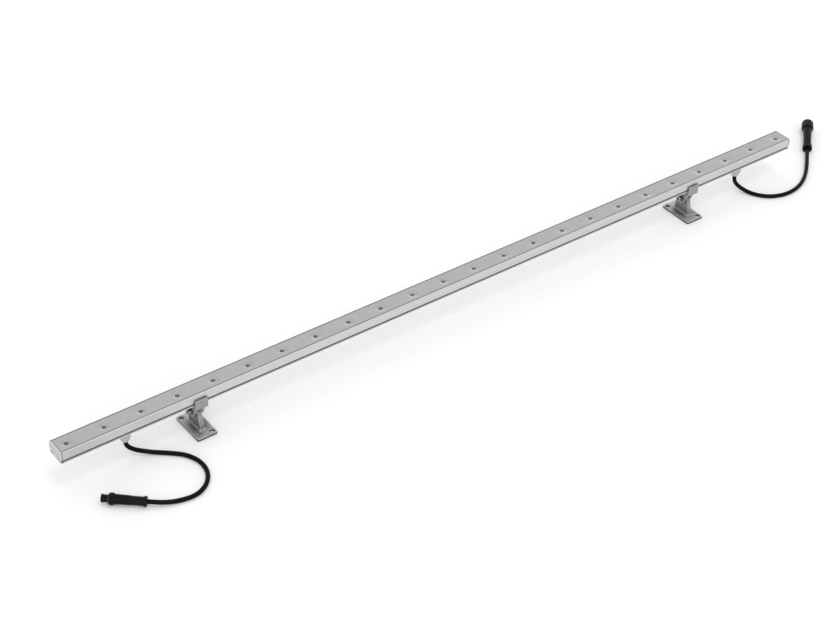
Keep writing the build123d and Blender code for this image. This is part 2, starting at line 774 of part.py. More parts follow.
for side, side_name in ((-1, "left"), (1, "right")):
    x = side * bracket_x
    side_view = Plane.YZ.offset(x)

    with BuildPart() as clamp:
        with BuildSketch(side_view) as clamp_outline:
            draw_jaw(-1)
            with Locations(((saddle_back_y - jaw_out) / 2, clamp_screw_z)):
                Rectangle(saddle_back_y + jaw_out, saddle_t)
            corners = clamp_outline.vertices().group_by(Axis.X)[0]
            fillet(corners, jaw_edge_r)
        extrude(amount=clamp_width / 2, both=True)
        fillet(clamp.edges().filter_by(Axis.Z).group_by(Axis.Y)[0], jaw_edge_r)
        with BuildSketch(side_view):
            with Locations((0, hinge_z)):
                Circle(ear_r)
            with Locations((0, clamp_screw_z)):
                Rectangle(2 * ear_top_y, saddle_t / 2)
            make_hull()
        extrude(amount=ear_half, both=True)
        with BuildSketch(side_view):
            with Locations((0, saddle_bottom_z - bar_height)):
                Rectangle(2 * bar_width, 2 * bar_height)
        extrude(amount=web_slot / 2, both=True, mode=Mode.SUBTRACT)
        with BuildSketch(side_view):
            with Locations((0, hinge_z)):
                Circle(hinge_bolt_r + hinge_fit)
        extrude(amount=clamp_width, both=True, mode=Mode.SUBTRACT)
        with Locations(Plane(origin=(x, saddle_back_y, clamp_screw_z), z_dir=(0, 1, 0))):
            Hole(clamp_screw_r + screw_clearance, clamp_screw_grip)
    save(clamp, f"{side_name}_clamp")

    with BuildPart() as jaw:
        jaw_back_y = saddle_back_y + jaw_gap
        with BuildSketch(side_view) as jaw_outline:
            draw_jaw(1)
            with Locations(((jaw_back_y + jaw_out) / 2, clamp_screw_z)):
                Rectangle(jaw_out - jaw_back_y, saddle_t)
            corners = jaw_outline.vertices().group_by(Axis.X)[-1]
            fillet(corners, jaw_edge_r)
        extrude(amount=clamp_width / 2, both=True)
        fillet(jaw.edges().filter_by(Axis.Z).group_by(Axis.Y)[-1], jaw_edge_r)
        with Locations(Plane(origin=(x, jaw_out, clamp_screw_z), z_dir=(0, 1, 0))):
            Hole(clamp_screw_r + screw_clearance, 2 * jaw_t)
    save(jaw, f"{side_name}_clamp_jaw")

    with BuildPart() as clamp_screw:
        head_plane = Plane(origin=(x, jaw_out, clamp_screw_z), x_dir=(0, -1, 0), z_dir=(1, 0, 0))
        turn(
            head_plane,
            [
                (-clamp_head_t, 0),
                (-clamp_head_t, clamp_head_r - head_edge),
                (-clamp_head_t + head_edge, clamp_head_r),
                (0, clamp_head_r),
                (0, clamp_screw_r),
                (clamp_screw_grip, clamp_screw_r),
                (clamp_screw_grip, 0),
            ],
        )
        socket_top = Plane(origin=(x, jaw_out + clamp_head_t, clamp_screw_z), z_dir=(0, -1, 0))
        hex_prism(socket_top, clamp_socket_flats, clamp_socket_depth, Mode.SUBTRACT)
    save(clamp_screw, f"{side_name}_clamp_screw")

    with BuildPart() as foot:
        with BuildSketch(Plane.XY):
            with Locations((x, 0)):
                RectangleRounded(plate_x, plate_y, plate_corner_r)
        extrude(amount=plate_t)
        chamfer(foot.faces().sort_by(Axis.Z)[-1].edges(), plate_edge)
        with BuildSketch(side_view) as web_outline:
            with Locations((0, hinge_z)):
                Circle(web_r)
            with BuildLine():
                Polyline(
                    (-web_base_y, plate_t),
                    (-web_neck_y, web_neck_z),
                    (web_neck_y, web_neck_z),
                    (web_base_y, plate_t),
                    close=True,
                )
            make_face()
            make_hull()
            necks = web_outline.vertices().filter_by(lambda v: abs(v.Y - web_neck_z) < 0.01)
            fillet(necks, web_neck_r)
        extrude(amount=web_t / 2, both=True)
        root_edges = foot.edges().filter_by(
            lambda e: abs(e.center().Z - plate_t) < 0.01 and abs(e.center().Y) < web_base_y + 0.01
        )
        fillet(root_edges.filter_by(lambda e: abs(e.center().X - x) < web_t), web_fillet)
        with BuildSketch(side_view):
            with Locations((0, hinge_z)):
                Circle(hinge_bolt_r + hinge_fit)
        extrude(amount=web_t, both=True, mode=Mode.SUBTRACT)
        for corner in (-1, 1):
            with Locations((x + corner * foot_hole_x, -corner * foot_hole_y, plate_t)):
                CounterSinkHole(foot_hole_r, foot_sink_r, counter_sink_angle=sink_angle)
    save(foot, f"{side_name}_foot")

    bolt_plane = Plane(origin=(x, 0, hinge_z), x_dir=(1, 0, 0), z_dir=(0, -1, 0))
    washer_out = ear_half + washer_t
    nut_out = washer_out + hinge_nut_t
    with BuildPart() as hinge_bolt:
        turn(
            bolt_plane,
            [
                (-washer_out - hinge_head_t, 0),
                (-washer_out - hinge_head_t, hinge_head_r - head_edge),
                (-washer_out - hinge_head_t + head_edge, hinge_head_r),
                (-washer_out, hinge_head_r),
                (-washer_out, hinge_bolt_r),
                (nut_out + hinge_tip, hinge_bolt_r),
                (nut_out + hinge_tip, 0),
            ],
        )
        bolt_face = Plane(origin=(x - washer_out - hinge_head_t, 0, hinge_z), z_dir=(1, 0, 0))
        hex_prism(bolt_face, hinge_socket_flats, hinge_socket_depth, Mode.SUBTRACT)
    save(hinge_bolt, f"{side_name}_hinge_bolt")

    with BuildPart() as hinge_washers:
        for washer_x in (x - washer_out, x + ear_half):
            with BuildSketch(Plane.YZ.offset(washer_x)):
                with Locations((0, hinge_z)):
                    Circle(washer_r)
                    Circle(hinge_bolt_r + hinge_fit, mode=Mode.SUBTRACT)
            extrude(amount=washer_t)
    save(hinge_washers, f"{side_name}_hinge_washers")

    with BuildPart() as hinge_nut:
        nut_face = Plane(origin=(x + washer_out, 0, hinge_z), z_dir=(1, 0, 0))
        hex_prism(nut_face, hinge_nut_flats, hinge_nut_t)
        with Locations(Plane(origin=(x + nut_out, 0, hinge_z), z_dir=(1, 0, 0))):
            Hole(hinge_bolt_r + hinge_fit, 2 * hinge_nut_t)
    save(hinge_nut, f"{side_name}_hinge_nut")
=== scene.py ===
# %% [markdown]
# # Dressing an outdoor wall washer light
#
# The light is a slim metre of extruded aluminium with 24 lenses, two swivel
# feet clamped under it, and a short black lead at each end. Its rigid pieces
# come from a CAD model at their real size, and Blender gives them their looks:
# the finish of each surface, the leads, the optics and the rounded edges of
# the castings. One way would be to model all of it again by hand. It is safer
# to build on the CAD pieces, because everything then fits and moves as it
# should, so this lesson starts by loading them.

# %% Load the CAD model as a fixed frame
import json
from math import cos, pi, radians, sin

import bmesh
import bpy
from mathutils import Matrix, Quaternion, Vector


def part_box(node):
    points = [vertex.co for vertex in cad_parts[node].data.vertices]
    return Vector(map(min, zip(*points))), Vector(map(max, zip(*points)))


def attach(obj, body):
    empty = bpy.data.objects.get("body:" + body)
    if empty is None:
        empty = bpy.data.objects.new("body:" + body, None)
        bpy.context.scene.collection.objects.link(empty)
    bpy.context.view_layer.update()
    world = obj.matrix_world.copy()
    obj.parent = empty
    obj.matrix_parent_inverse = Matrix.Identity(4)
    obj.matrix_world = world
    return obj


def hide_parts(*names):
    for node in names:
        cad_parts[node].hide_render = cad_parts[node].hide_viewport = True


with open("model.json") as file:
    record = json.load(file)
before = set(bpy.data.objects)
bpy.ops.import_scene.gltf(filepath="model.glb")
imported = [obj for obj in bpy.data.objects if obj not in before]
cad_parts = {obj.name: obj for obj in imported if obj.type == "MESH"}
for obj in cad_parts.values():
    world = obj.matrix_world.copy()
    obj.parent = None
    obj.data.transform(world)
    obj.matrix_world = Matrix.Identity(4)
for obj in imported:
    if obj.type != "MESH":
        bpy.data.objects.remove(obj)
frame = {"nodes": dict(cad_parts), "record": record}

scene = bpy.context.scene
nodes = frame["nodes"]
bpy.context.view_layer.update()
MM = 0.001

# %% [markdown]
# ## Camera
#
# A picture of a long thin object lives from its angle. The camera could be
# turned by eye until it looks right, but a bar with 24 evenly spaced lenses is
# a ruler: its corners and lens centres fix where the camera stood. It looks
# down at about 38 degrees from the front left, through a long lens, and it is
# rolled by one degree.

# %% Camera
eye = Vector((-1.06464, -1.35804, 1.33606))
looks_at = Vector((-0.03995, 0.01671, 0.00238))
roll = radians(1.02)
sensor_width, focal_length = 36.0, 83.07

camera_data = bpy.data.cameras.new("product_camera")
camera_data.sensor_width = sensor_width
camera_data.lens = focal_length
camera = bpy.data.objects.new("product_camera", camera_data)
camera.location = eye
camera.rotation_mode = "QUATERNION"
level_view = (looks_at - eye).to_track_quat("-Z", "Y")
camera.rotation_quaternion = level_view @ Quaternion((0, 0, 1), roll)
scene.collection.objects.link(camera)
scene.camera = camera
scene.view_settings.view_transform = "Standard"
print(f"camera {(eye - looks_at).length:.2f} m away")

# %% [markdown]
# ## Helpers for node trees
#
# The floor, the world and every finish are node trees. Setting them up takes
# three calls per node: make it, set its options, fill or link its sockets. One
# small function does all three, so that each tree below reads like a recipe.
# Two more cover what comes up most: joining two values, and moving a value
# from one range to another.

# %% Node helpers
def add_node(tree, kind, inputs=None, **options):
    """Add a node. A socket gets a number, a colour or the output of another node."""
    made = tree.nodes.new(kind)
    for name, value in options.items():
        setattr(made, name, value)
    for socket, value in (inputs or {}).items():
        if isinstance(value, bpy.types.NodeSocket):
            tree.links.new(value, made.inputs[socket])
        else:
            made.inputs[socket].default_value = value
    return made


def combine(tree, operation, first, second):
    """Two values joined by a sum, a product or another operation."""
    values = {0: first, 1: second}
    return add_node(tree, "ShaderNodeMath", values, operation=operation).outputs[0]


def remap(tree, value, from_range=(0.0, 1.0), to_range=(0.0, 1.0)):
    """Move a value from one range to another, and hold it at the ends."""
    (from_min, from_max), (to_min, to_max) = from_range, to_range
    values = {"Value": value, "From Min": from_min, "From Max": from_max}
    values |= {"To Min": to_min, "To Max": to_max}
    return add_node(tree, "ShaderNodeMapRange", values).outputs[0]


print("node helpers ready")

# %% [markdown]
# ## Studio
#
# Product pictures stand on white. Turning the lamps up until the floor burns
# out would bleach the object too. Instead the world and the floor look white
# to the camera and in reflections, while the light that they give stays plain.

# %% World
dome_level = 0.66
dome_white = (1, 1, 1, 1)


def seen_directly(tree):
    """1 for a ray from the camera, a reflection or clear glass, 0 for one that carries light."""
    path = add_node(tree, "ShaderNodeLightPath").outputs
    mirrored = combine(tree, "MAXIMUM", path["Is Camera Ray"], path["Is Glossy Ray"])
    return combine(tree, "MAXIMUM", mirrored, path["Is Transmission Ray"])


world = bpy.data.worlds.new("studio_dome")
world.use_nodes = True
tree = world.node_tree
tree.nodes.clear()
level = remap(tree, seen_directly(tree), to_range=(dome_level, 1.0))
dome = add_node(tree, "ShaderNodeBackground", {"Color": dome_white, "Strength": level})
add_node(tree, "ShaderNodeOutputWorld", {"Surface": dome.outputs[0]})
scene.world = world
print("white world ready")

# %% [markdown]
# The floor could be left out, but the light would then float. It is a large
# pale sheet that adds a little glow to its lit colour, so that it reaches white
# where nothing shades it and still keeps the soft shadow of the bar.

# %% Floor
floor_z = -0.05 * MM
floor_side = 60.0
floor_bounce = (0.78, 0.78, 0.78, 1)
floor_seen = (0.94, 0.94, 0.94, 1)
floor_glow = 0.09

floor_finish = bpy.data.materials.new("pale_floor")
floor_finish.use_nodes = True
tree = floor_finish.node_tree
tree.nodes.clear()
lit = add_node(tree, "ShaderNodeBsdfDiffuse", {"Color": floor_bounce})
white = add_node(tree, "ShaderNodeBsdfDiffuse", {"Color": floor_seen})
glow = add_node(tree, "ShaderNodeEmission", {"Strength": floor_glow})
shown = add_node(tree, "ShaderNodeAddShader", {0: white.outputs[0], 1: glow.outputs[0]})
by_ray = {0: seen_directly(tree), 1: lit.outputs[0], 2: shown.outputs[0]}
floor_mix = add_node(tree, "ShaderNodeMixShader", by_ray)
add_node(tree, "ShaderNodeOutputMaterial", {"Surface": floor_mix.outputs[0]})

half = floor_side / 2
floor_corners = [(-half, -half), (half, -half), (half, half), (-half, half)]
floor_mesh = bpy.data.meshes.new("floor")
floor_mesh.from_pydata([(x, y, floor_z) for x, y in floor_corners], [], [(0, 1, 2, 3)])
floor_mesh.materials.append(floor_finish)
floor = bpy.data.objects.new("floor", floor_mesh)
scene.collection.objects.link(floor)
print("floor laid")

# %% [markdown]
# ## Lamps
#
# Large soft lamps shape the object: one overhead, one behind and above that
# lets shadows fall towards the viewer, a low one in front for the side of the
# bar, and two low rim lamps behind, which the near slope of each lens dish
# mirrors as a small bright crescent. Area lamps would fade along a metre of
# bar. A sun with a wide angle is as soft and equally bright everywhere. A
# white face square to a sun of strength pi renders as 1, so each lamp's level
# is a share of that.

# %% Lamps
def add_lamp(name, comes_from, share, softness):
    """A soft sun that shines from a direction. Its softness is an angle in degrees."""
    data = bpy.data.lights.new(name, "SUN")
    data.energy = share * pi
    data.angle = radians(softness)
    lamp = bpy.data.objects.new(name, data)
    lamp.rotation_mode = "QUATERNION"
    lamp.rotation_quaternion = Vector(comes_from).to_track_quat("Z", "Y")
    scene.collection.objects.link(lamp)
    return lamp


lamps = [
    add_lamp("overhead", comes_from=(0.05, -0.36, 1.0), share=0.135, softness=18),
    add_lamp("behind", comes_from=(0.15, 0.45, 1.0), share=0.095, softness=54),
    add_lamp("front", comes_from=(-0.6, -1.0, 0.55), share=0.27, softness=60),
    add_lamp("rim_left", comes_from=(0.52, 0.85, 0.18), share=0.075, softness=24),
    add_lamp("rim_right", comes_from=(0.80, 0.60, 0.18), share=0.055, softness=24),
]
print(f"{len(lamps)} lamps")

# %% [markdown]
# ## Shared shader groups
#
# Several finishes share the same small effects. Copying their nodes into each
# material would work, but a group is built once and then only gets other
# values. A group here gives masks, values and colours that change over the
# surface, and the shader itself stays in the material.

# %% Helpers for groups
FLOAT, VECTOR, COLOUR = "NodeSocketFloat", "NodeSocketVector", "NodeSocketColor"


def new_group(name, kind, inputs, outputs):
    """An empty node group with named sockets, and the ends to wire them to."""
    group = bpy.data.node_groups.new(name, kind)
    for label, socket_type, value in inputs:
        socket = group.interface.new_socket(label, in_out="INPUT", socket_type=socket_type)
        if value is not None:
            socket.default_value = value
    for label, socket_type in outputs:
        group.interface.new_socket(label, in_out="OUTPUT", socket_type=socket_type)
    given = group.nodes.new("NodeGroupInput").outputs
    result = group.nodes.new("NodeGroupOutput").inputs
    return group, given, result


def own_place(tree):
    """The object's own coordinates."""
    return add_node(tree, "ShaderNodeTexCoord").outputs["Object"]


def add_noise(tree, place, scale, detail):
    """A cloudy value around one half."""
    values = {"Vector": place, "Scale": scale, "Detail": detail}
    return add_node(tree, "ShaderNodeTexNoise", values).outputs["Fac"]


print("group helpers ready")

# %% [markdown]
# The first group is grain: a coarse and a fine noise. A picture of a surface
# could be laid on instead, but it needs unwrapping and shows seams. Noise on
# the object's own coordinates has neither, and a stretch of less than 1 along
# X draws it out into the lengthwise lines that a die leaves on an extrusion.

# %% Group: surface grain
fine_per_coarse = 6.0
coarse_detail, fine_detail = 3.0, 2.0

grain_group, given, result = new_group(
    "surface_grain",
    "ShaderNodeTree",
    [("Scale", FLOAT, 400.0), ("Stretch", VECTOR, (1, 1, 1))],
    [("Coarse", FLOAT), ("Fine", FLOAT)],
)
stretched = {0: own_place(grain_group), 1: given["Stretch"]}
drawn = add_node(grain_group, "ShaderNodeVectorMath", stretched, operation="MULTIPLY").outputs[0]
finer = combine(grain_group, "MULTIPLY", given["Scale"], fine_per_coarse)
coarse = add_noise(grain_group, drawn, given["Scale"], coarse_detail)
fine = add_noise(grain_group, drawn, finer, fine_detail)
grain_group.links.new(coarse, result["Coarse"])
grain_group.links.new(fine, result["Fine"])
print(grain_group.name)

# %% [markdown]
# The second group lets a colour drift a little, lighter here and darker
# there, because no anodised, cast or moulded surface is one flat colour. A
# painted mask could do it for one piece. Driven by the grain, it does it for
# all of them.

# %% Group: tone drift
noise_range = (0.3, 0.7)

drift_group, given, result = new_group(
    "tone_drift",
    "ShaderNodeTree",
    [("Color", COLOUR, (0.5, 0.5, 0.5, 1)), ("Spread", FLOAT, 0.05), ("Value", FLOAT, 0.5)],
    [("Color", COLOUR)],
)
darker = combine(drift_group, "SUBTRACT", 1.0, given["Spread"])
lighter = combine(drift_group, "ADD", 1.0, given["Spread"])
share = remap(drift_group, given["Value"], noise_range, (darker, lighter))
toned = add_node(drift_group, "ShaderNodeHueSaturation", {"Color": given["Color"], "Value": share})
drift_group.links.new(toned.outputs[0], result["Color"])
print(drift_group.name)

# %% [markdown]
# The third group finds edges and lightens them: partly wear, and partly a painted highlight that
# stands in for the light a rounded edge catches. Wear could be painted on by hand, edge by edge. A
# Bevel node gives the normal that the surface would have with rounded edges instead. Where it
# differs from the real normal there is an edge, and a noise breaks that line up, so that the
# bright edge looks uneven.

# %% Group: edge wear
bevel_samples = 4
edge_range = (0.985, 0.80)
breakup_scale, breakup_detail, breakup_range = 180.0, 4.0, (0.2, 0.5)

wear_and_highlight_group, given, result = new_group(
    "edge_wear_and_highlight",
    "ShaderNodeTree",
    [("Radius", FLOAT, 0.5 * MM), ("Amount", FLOAT, 0.5)],
    [("Mask", FLOAT)],
)
rounded = add_node(
    wear_and_highlight_group, "ShaderNodeBevel", {"Radius": given["Radius"]}, samples=bevel_samples
)
real_normal = add_node(wear_and_highlight_group, "ShaderNodeNewGeometry").outputs["Normal"]
normals = {0: rounded.outputs[0], 1: real_normal}
alike = add_node(wear_and_highlight_group, "ShaderNodeVectorMath", normals, operation="DOT_PRODUCT")
edge = remap(wear_and_highlight_group, alike.outputs["Value"], edge_range)
breakup = add_noise(wear_and_highlight_group, own_place(wear_and_highlight_group), breakup_scale, breakup_detail)
bright_edge = combine(wear_and_highlight_group, "MULTIPLY", edge, remap(wear_and_highlight_group, breakup, breakup_range))
mask = combine(wear_and_highlight_group, "MULTIPLY", bright_edge, given["Amount"])
wear_and_highlight_group.links.new(mask, result["Mask"])
print(wear_and_highlight_group.name)

# %% [markdown]
# The fourth group lightens faces that look up, in soft patches. Strewn specks would be heavy, and
# at this distance dust is only a pale film. Each finish says how much: a trace of real dust on
# most. On the plates of the feet the film is strong, and there it is painted light, which stands
# in for the light that falls on the plates from above.

# %% Group: settled dust
upward_range = (0.7, 1.0)
patch_scale, patch_detail, patch_range = 90.0, 6.0, (0.4, 0.7)

dust_and_top_light_group, given, result = new_group(
    "dust_and_top_light_film", "ShaderNodeTree", [("Amount", FLOAT, 0.1)], [("Mask", FLOAT)]
)
normal = add_node(dust_and_top_light_group, "ShaderNodeNewGeometry").outputs["Normal"]
facing = add_node(dust_and_top_light_group, "ShaderNodeSeparateXYZ", {0: normal}).outputs["Z"]
upward = remap(dust_and_top_light_group, facing, upward_range)
patches = add_noise(dust_and_top_light_group, own_place(dust_and_top_light_group), patch_scale, patch_detail)
upward_patches = combine(dust_and_top_light_group, "MULTIPLY", upward, remap(dust_and_top_light_group, patches, patch_range))
mask = combine(dust_and_top_light_group, "MULTIPLY", upward_patches, given["Amount"])
dust_and_top_light_group.links.new(mask, result["Mask"])
print(dust_and_top_light_group.name)

# %% [markdown]
# The fifth group paints shade into hollows: seams, grooves, the corners of a casting and the
# inside of a hole, where less light reaches. It darkens them towards near black. A darker second
# material would need each hollow picked by hand. Ambient Occlusion measures how much of the sky a
# point sees within a short reach, and so finds them by itself.

# %% Group: recess shade
sky_samples = 6
open_sky = 0.92

recess_group, given, result = new_group(
    "recess_shade",
    "ShaderNodeTree",
    [("Reach", FLOAT, 2 * MM), ("Amount", FLOAT, 0.5), ("Full at", FLOAT, 0.3)],
    [("Mask", FLOAT)],
)
sky = add_node(
    recess_group, "ShaderNodeAmbientOcclusion", {"Distance": given["Reach"]}, samples=sky_samples
)
hollow = remap(recess_group, sky.outputs["AO"], (open_sky, given["Full at"]))
mask = combine(recess_group, "MULTIPLY", hollow, given["Amount"])
recess_group.links.new(mask, result["Mask"])
print(recess_group.name)

# %% [markdown]
# ## One recipe for opaque finishes
#
# Metal, paint, plastic and rubber differ in numbers more than in nodes: the colour, how rough and
# how metallic, the size and stretch of the grain, how deep it is, and how bright the edges are,
# partly wear and partly painted highlight. One function builds the tree from those numbers. The
# colours come from the record that travels with the model, so the two can't drift apart.

# %% Colours, and two small helpers
colour_of = {m["slot"]: m["base_color"] for m in frame["record"]["materials"]}
# A pale film on faces that look up: a trace of dust, and painted light from above where strong.
# Near black for painted shade in hollows.
dust_and_top_light_colour = (0.62, 0.61, 0.58, 1.0)
painted_shade_colour = (0.015, 0.015, 0.015, 1.0)


def add_group(tree, group, inputs):
    """Place a shared group in a tree and give its outputs."""
    return add_node(tree, "ShaderNodeGroup", inputs, node_tree=group).outputs


def mix_colours(tree, mask, under, over):
    """One colour, and another over it where the mask is 1."""
    values = {"Fac": mask, "Color1": under, "Color2": over}
    return add_node(tree, "ShaderNodeMixRGB", values).outputs[0]


print(f"{len(colour_of)} slots in the record")

# %% Recipe for opaque finishes
coat_rough = 0.2
finish_of = {}


def make_finish(
    slot, rough, grain, stretch=(1, 1, 1), relief=0.01, drift=0.05, metal=0.0, specular=0.5,
    wear_and_highlight=0.0, wear_and_highlight_colour=(0.8, 0.8, 0.8, 1), wear_and_highlight_radius=0.5, dust_and_top_light=0.0, recess=None,
    tone=1.0, coat=0.0, name=None,
):
    """A finish in the colour of a slot.

    rough is (smoothest, roughest), grain a scale per metre, and relief and the edge radius are
    millimetres. The edge mask lightens edges, partly wear and partly painted highlight. The film
    on faces that look up is a trace of dust where weak and painted light from above where strong.
    recess is painted shade in hollows, as (reach in millimetres, amount, share of open sky at
    which it is full). tone lightens or darkens the record's colour, and coat is a clear lacquer.
    name is for a second finish in the same slot.
    """
    name = name or slot
    finish = bpy.data.materials.new(f"{name}_finish")
    finish.use_nodes = True
    tree = finish.node_tree
    shader = tree.nodes["Principled BSDF"]
    shader.inputs["Metallic"].default_value = metal
    shader.inputs["Specular IOR Level"].default_value = specular
    shader.inputs["Coat Weight"].default_value = coat
    shader.inputs["Coat Roughness"].default_value = coat_rough

    pattern = add_group(tree, grain_group, {"Scale": grain, "Stretch": stretch})
    plain = (*(tone * v for v in colour_of[slot]), 1)
    drifting = {"Color": plain, "Spread": drift, "Value": pattern["Coarse"]}
    colour = add_group(tree, drift_group, drifting)[0]
    # Pale film on faces that look up: dust, and painted light where strong.
    if dust_and_top_light:
        top_mask = add_group(tree, dust_and_top_light_group, {"Amount": dust_and_top_light})[0]
        colour = mix_colours(tree, top_mask, colour, dust_and_top_light_colour)
    # Painted shade in hollows.
    if recess:
        reach, amount, full_at = recess
        shade = {"Reach": reach * MM, "Amount": amount, "Full at": full_at}
        dark = add_group(tree, recess_group, shade)[0]
        colour = mix_colours(tree, dark, colour, painted_shade_colour)
    # Lighter edges: wear, and painted highlight.
    if wear_and_highlight:
        edges = add_group(tree, wear_and_highlight_group, {"Radius": wear_and_highlight_radius * MM, "Amount": wear_and_highlight})[0]
        colour = mix_colours(tree, edges, colour, wear_and_highlight_colour)
    tree.links.new(colour, shader.inputs["Base Color"])

    sheen = remap(tree, pattern["Fine"], noise_range, rough)
    tree.links.new(sheen, shader.inputs["Roughness"])
    raised = {"Strength": 1.0, "Distance": relief * MM, "Height": pattern["Fine"]}
    bump = add_node(tree, "ShaderNodeBump", raised)
    tree.links.new(bump.outputs[0], shader.inputs["Normal"])
    finish_of[name] = finish


print("recipe ready")

# %% [markdown]
# ## Aluminium of the bar, its cover and its end caps
#
# The bar is drawn through a die and anodised in natural silver: satin, with
# faint lines along its length. Each line could be drawn, but stretching the
# grain along X is enough. The cover is duller, with a thin clear lacquer. The
# end caps are die-cast and painted, with an even fine texture.

# %% Finish: extrusion, cover and end caps
# Lighter edges on all three are partly wear and partly painted highlight. On the bar they are
# mostly a painted highlight, such as the bright line over its groove. Hollows and seams get
# painted shade.
make_finish(
    "bar_aluminium", rough=(0.36, 0.50), grain=700, stretch=(0.004, 1, 1), relief=0.006,
    drift=0.05, metal=0.55, wear_and_highlight=0.8, wear_and_highlight_colour=(0.85, 0.85, 0.85, 1), wear_and_highlight_radius=0.4,
    dust_and_top_light=0.04, recess=(2.5, 0.95, 0.3), tone=1.03,
)
make_finish(
    "cover_grey", rough=(0.52, 0.66), grain=500, relief=0.006, drift=0.04, metal=0.1,
    wear_and_highlight=0.25, wear_and_highlight_colour=(0.6, 0.6, 0.6, 1), wear_and_highlight_radius=0.3, dust_and_top_light=0.06,
    recess=(1.0, 1.0, 0.3), tone=0.98, coat=0.8,
)
make_finish(
    "cap_grey", rough=(0.42, 0.55), grain=600, relief=0.01, drift=0.04, metal=0.3,
    wear_and_highlight=0.4, wear_and_highlight_colour=(0.72, 0.72, 0.72, 1), dust_and_top_light=0.05, recess=(2.0, 0.8, 0.3), tone=1.15,
)
print("bar, cover and caps")

# %% [markdown]
# ## Castings and fasteners
#
# The brackets are cast alloy. Sand or bead blasting leaves a coarse grain and the faces are mid
# grey. The paler edges are partly rubbed bright and partly a painted highlight, and hollows get
# painted shade. One finish could serve the whole bracket, but the top of a foot's plate looks
# paler than its upright web, because light falls on it from above. The foot therefore has a
# lighter copy of the finish, with painted light as a pale film on faces that look up and painted
# shade that reaches further, and the clamp's copy is darker. The screws, nuts and washers are
# stainless steel, turned, so smoother, and the contacts in the connectors are bare brass.

# %% Finish: brackets, steel and brass
casting = dict(
    rough=(0.42, 0.60), grain=420, stretch=(1, 1, 0.4), relief=0.035, drift=0.15, metal=0.45,
    wear_and_highlight=1.0, wear_and_highlight_colour=(0.85, 0.85, 0.85, 1), wear_and_highlight_radius=1.0,
)
# Lit and shaded copies of one casting finish: darker for the clamps, lighter for the feet, whose
# plates get painted light from above.
make_finish("bracket_alloy", dust_and_top_light=0.05, recess=(8, 0.9, 0.45), tone=0.95, **casting)
make_finish(
    "bracket_alloy", name="foot_alloy_top_lit", dust_and_top_light=0.85, recess=(24, 1.0, 0.5), tone=1.05, **casting
)
make_finish(
    "steel", rough=(0.26, 0.40), grain=900, relief=0.004, drift=0.05, metal=1.0,
    wear_and_highlight=0.4, wear_and_highlight_colour=(0.8, 0.8, 0.79, 1), wear_and_highlight_radius=0.3, recess=(6, 1.0, 0.35), tone=0.6,
)
make_finish("contact_brass", rough=(0.2, 0.3), grain=900, relief=0.002, drift=0.06, metal=1.0)
print("castings and fasteners")

# %% [markdown]
# ## Plastics and rubber
#
# The glands are light grey moulded plastic. The jacket of the lead and its
# connectors are black. Plain black would do for a shadow, but a surface still
# needs a soft sheen and a fine grain, or it turns into a hole in the picture.
# Their specular level is low, because a white studio would otherwise lift the
# black to grey. The boards and what they carry hardly show, so they stay
# simple.

# %% Finish: plastics and rubber
# The glands' lighter edges are partly wear and partly painted highlight, and their hollows get
# painted shade. The connectors' lighter edges are a painted highlight.
make_finish(
    "gland_grey", rough=(0.36, 0.5), grain=500, relief=0.012, drift=0.05, dust_and_top_light=0.05,
    wear_and_highlight=0.5, wear_and_highlight_colour=(0.75, 0.75, 0.75, 1), wear_and_highlight_radius=0.4, recess=(2.5, 0.9, 0.3),
)
make_finish(
    "cord_black", rough=(0.20, 0.32), grain=450, relief=0.02, drift=0.3, specular=0.07, tone=0.25
)
make_finish(
    "connector_black", rough=(0.22, 0.34), grain=600, relief=0.02, drift=0.3, specular=0.09,
    tone=0.25, wear_and_highlight=0.8, wear_and_highlight_colour=(0.10, 0.10, 0.10, 1), wear_and_highlight_radius=0.3,
)
make_finish("seal_rubber", rough=(0.6, 0.8), grain=700, relief=0.02, drift=0.2, specular=0.3)
make_finish("board_white", rough=(0.35, 0.45), grain=300, relief=0.003, drift=0.03)
make_finish("link_white", rough=(0.4, 0.5), grain=500, relief=0.008, drift=0.03)
make_finish("chip_black", rough=(0.5, 0.65), grain=900, relief=0.008, drift=0.2)
make_finish("led_yellow", rough=(0.3, 0.4), grain=1500, relief=0.01, drift=0.08)
print("plastics and rubber")

# %% [markdown]
# ## Clear optics
#
# Each lens is clear acrylic, lightly frosted to hide the light source. A Glass
# shader would be too clean. A Principled shader that lets three quarters of
# the light through makes it, and fine moulding marks vary its roughness
# slightly, so that reflections in it aren't perfect.

# %% Finish: clear lens
acrylic_ior, clear_share, frosting = 1.49, 0.75, 0.4
mark_scale, mark_drift, haze_range = 300.0, 0.02, (0.02, 0.09)

lens_finish = bpy.data.materials.new("lens_clear_finish")
lens_finish.use_nodes = True
tree = lens_finish.node_tree
shader = tree.nodes["Principled BSDF"]
shader.inputs["IOR"].default_value = acrylic_ior
shader.inputs["Transmission Weight"].default_value = clear_share
marks = add_group(tree, grain_group, {"Scale": mark_scale})
haze = remap(tree, marks["Coarse"], to_range=haze_range)
tree.links.new(haze, shader.inputs["Roughness"])
frosted = (*(frosting * v for v in colour_of["lens_clear"]), 1)
drifting = {"Color": frosted, "Spread": mark_drift, "Value": marks["Coarse"]}
tint = add_group(tree, drift_group, drifting)[0]
tree.links.new(tint, shader.inputs["Base Color"])
finish_of["lens_clear"] = lens_finish
print("clear lens")

# %% [markdown]
# ## Finishes on the CAD pieces
#
# Each piece could be given its material by name. The record already says
# which slot each CAD node takes its finish from, so one loop covers them all.
# Only the feet differ, with their own finish in the slot of the brackets.

